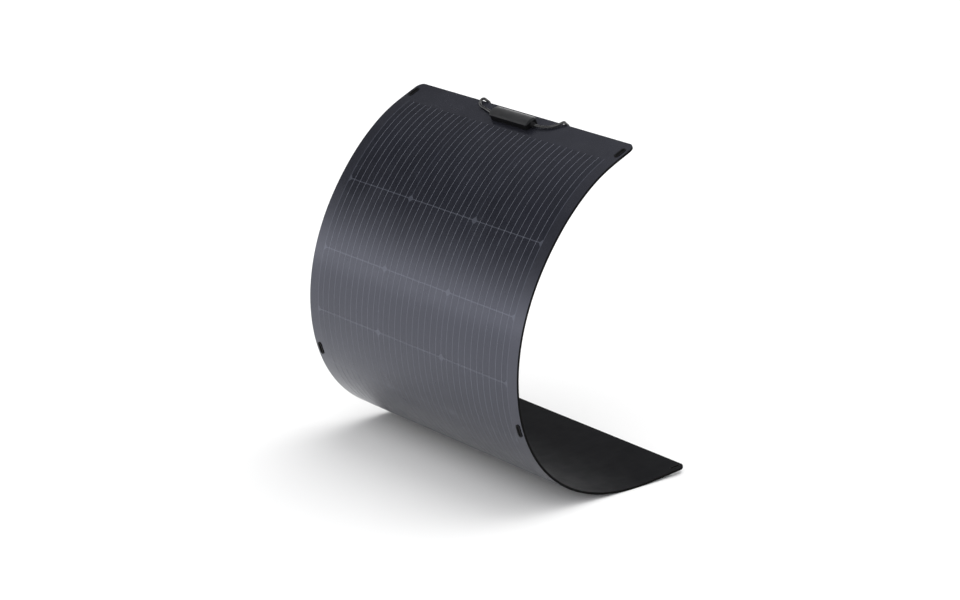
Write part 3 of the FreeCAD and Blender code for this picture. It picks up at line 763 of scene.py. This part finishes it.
for name, node in frame["nodes"].items():
    for prefix, material in NODE_MATERIALS.items():
        if name.startswith(prefix):
            node.data.materials.clear()
            node.data.materials.append(material)
    for prefix, width in BEVELS.items():
        if name.startswith(prefix):
            bevel = node.modifiers.new("soft_edges", "BEVEL")
            bevel.width = width
            bevel.segments = BEVEL_SEGMENTS
            bevel.limit_method = "ANGLE"
            bevel.angle_limit = BEVEL_ANGLE
            bevel.harden_normals = True


# ---- floor, light and camera ---------------------------------------------
CAMERA_AZIMUTH = math.radians(50.90)
CAMERA_ELEVATION = math.radians(17.67)
CAMERA_PLACE = Vector((3.9561, -3.2538, 1.9322))
CAMERA_LENS = 108.76
FLOOR_HALF = 30.0
FLOOR_LOW, FLOOR_TOP = -0.05, -0.0002     # the top is just under the sheet, so they never flicker


def make_floor():
    flat = FlatMesh()
    reach = FLOOR_HALF
    flat.sweep([[(-reach, y, FLOOR_LOW), (reach, y, FLOOR_LOW),
                 (reach, y, FLOOR_TOP), (-reach, y, FLOOR_TOP)] for y in (-reach, reach)])
    floor = flat.to_object("floor")
    floor.data.materials.append(floor_material())


def make_camera():
    data = bpy.data.cameras.new("camera")
    data.sensor_width = 36.0
    data.lens = CAMERA_LENS
    data.clip_end = 200.0
    camera = bpy.data.objects.new("camera", data)
    a, e = CAMERA_AZIMUTH, CAMERA_ELEVATION
    back = Vector((math.sin(a) * math.cos(e), -math.cos(a) * math.cos(e), math.sin(e)))
    right = Vector((math.cos(a), math.sin(a), 0.0))
    up = back.cross(right)
    camera.matrix_world = Matrix((
        (right.x, up.x, back.x, CAMERA_PLACE.x),
        (right.y, up.y, back.y, CAMERA_PLACE.y),
        (right.z, up.z, back.z, CAMERA_PLACE.z),
        (0, 0, 0, 1)))
    bpy.context.scene.collection.objects.link(camera)
    bpy.context.scene.camera = camera


# Brightness of the surround's left side by height: (height, value), horizon to zenith.
LEFT_SKY = ((0.0, 2.1), (0.12, 1.7), (0.28, 0.60), (0.42, 0.03), (0.58, 0.05), (0.72, 0.20))
RIGHT_SKY = 1.25
LEFT_EDGE, RIGHT_EDGE = -0.85, -0.10      # the left side gives way to the right between these


def make_world():
    """A pale studio: an even bright right side and a left side with a darker band."""
    world = bpy.data.worlds.new("studio")
    world.use_nodes = True
    tree = world.node_tree
    coordinates = tree.nodes.new("ShaderNodeTexCoord")
    split = tree.nodes.new("ShaderNodeSeparateXYZ")
    ramp = tree.nodes.new("ShaderNodeValToRGB")
    side = tree.nodes.new("ShaderNodeMapRange")
    side.interpolation_type = "SMOOTHSTEP"
    side.inputs["From Min"].default_value = LEFT_EDGE
    side.inputs["From Max"].default_value = RIGHT_EDGE
    mix = tree.nodes.new("ShaderNodeMix")
    mix.data_type = "RGBA"
    tree.links.new(coordinates.outputs["Generated"], split.inputs[0])
    tree.links.new(split.outputs["Z"], ramp.inputs["Fac"])
    tree.links.new(split.outputs["X"], side.inputs["Value"])
    while len(ramp.color_ramp.elements) < len(LEFT_SKY):
        ramp.color_ramp.elements.new(0.5)
    for element, (position, value) in zip(ramp.color_ramp.elements, LEFT_SKY):
        element.position = position
        element.color = (value, value, value, 1.0)
    tree.links.new(side.outputs["Result"], mix.inputs["Factor"])
    tree.links.new(ramp.outputs["Color"], mix.inputs[MIX_FIRST])
    mix.inputs[MIX_SECOND].default_value = (RIGHT_SKY, RIGHT_SKY, RIGHT_SKY, 1.0)
    tree.links.new(mix.outputs[MIX_RESULT], tree.nodes["Background"].inputs["Color"])
    bpy.context.scene.world = world


def make_sun(name, direction, strength, angle):
    data = bpy.data.lights.new(name, "SUN")
    data.energy = strength
    data.angle = math.radians(angle)
    sun = bpy.data.objects.new(name, data)
    sun.rotation_mode = "QUATERNION"
    sun.rotation_quaternion = Vector(direction).to_track_quat("Z", "Y")
    bpy.context.scene.collection.objects.link(sun)


make_floor()
make_camera()
make_world()
make_sun("key", (-0.08, 0.52, 1.0), 1.15, 70)
make_sun("front", (0.45, -0.75, 0.65), 0.8, 60)
bpy.context.scene.view_settings.view_transform = "Standard"
